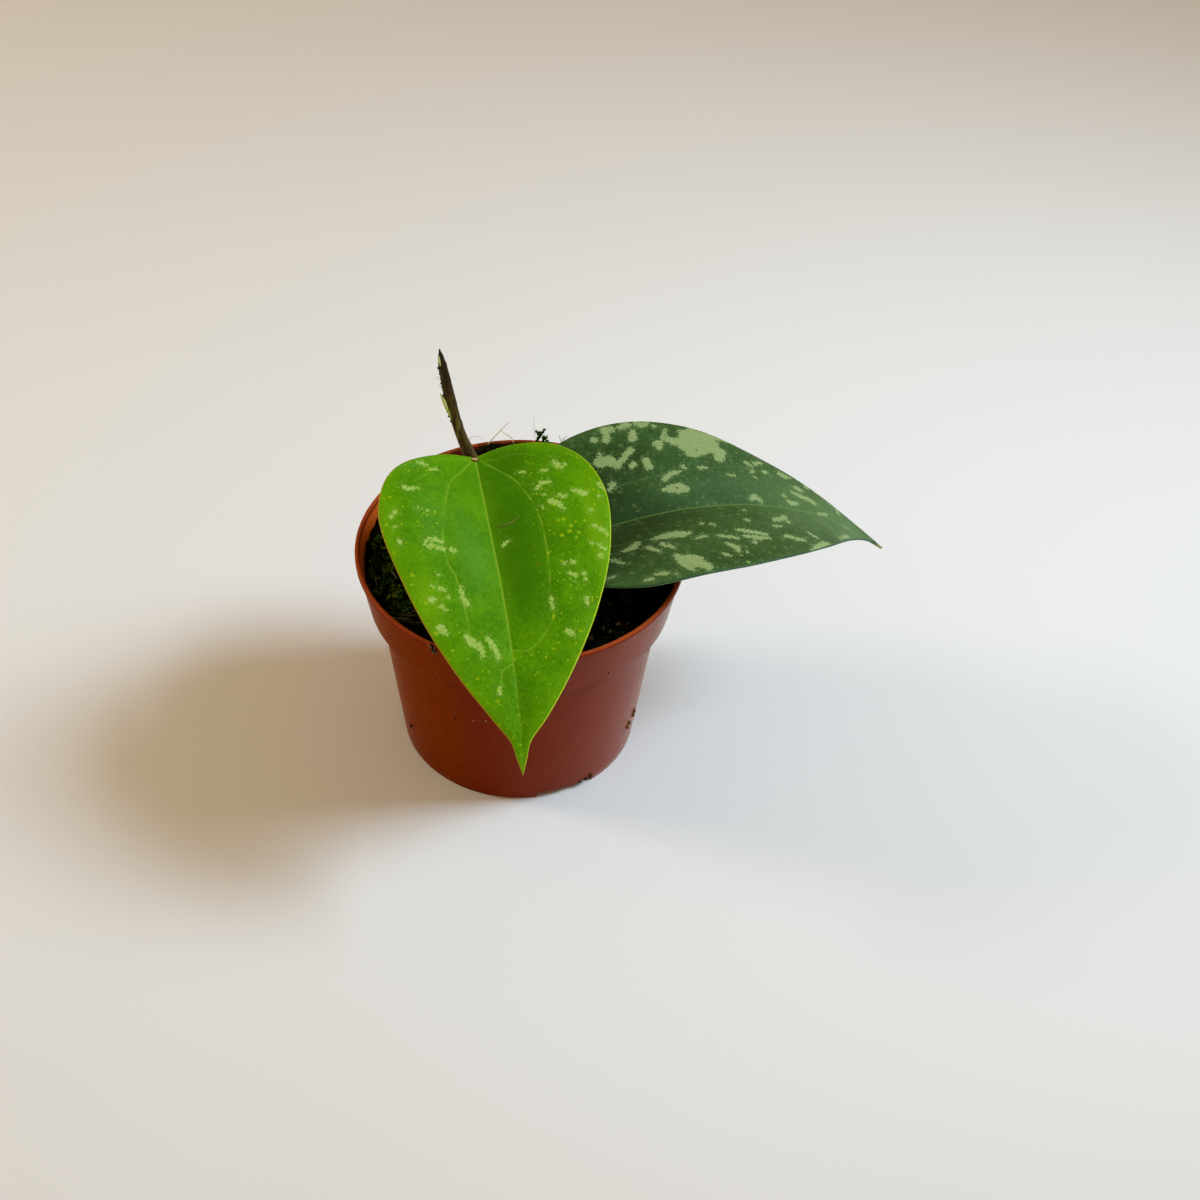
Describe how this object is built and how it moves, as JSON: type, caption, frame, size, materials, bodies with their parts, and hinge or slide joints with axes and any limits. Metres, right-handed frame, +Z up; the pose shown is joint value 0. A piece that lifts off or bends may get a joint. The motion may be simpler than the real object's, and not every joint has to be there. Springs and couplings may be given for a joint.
{
  "type": "potted hoya",
  "caption": "Young hoya cutting with broad heart-shaped leaves, lime green and dark green with silver patches, rooted in a small round plastic nursery pot of soil.",
  "frame": {"origin": "middle of the pot's underside, where the pot stands", "axes": "+Z up the pot's own axis, +X out over the rim along the mature leaf, -Y the front, which the young leaf arches over"},
  "size_m": [0.1968, 0.1563, 0.1565],
  "materials": {
    "terracotta_plastic": "satin",
    "potting_mix": "matte",
    "dried_bark": "matte",
    "lime_blade": "satin",
    "dark_blade": "satin"
  },
  "bodies": {
    "root": {"pot": "terracotta_plastic", "soil": "potting_mix", "stem": "dried_bark", "leaf_young": "lime_blade", "leaf_mature": "dark_blade"}
  },
  "joints": []
}
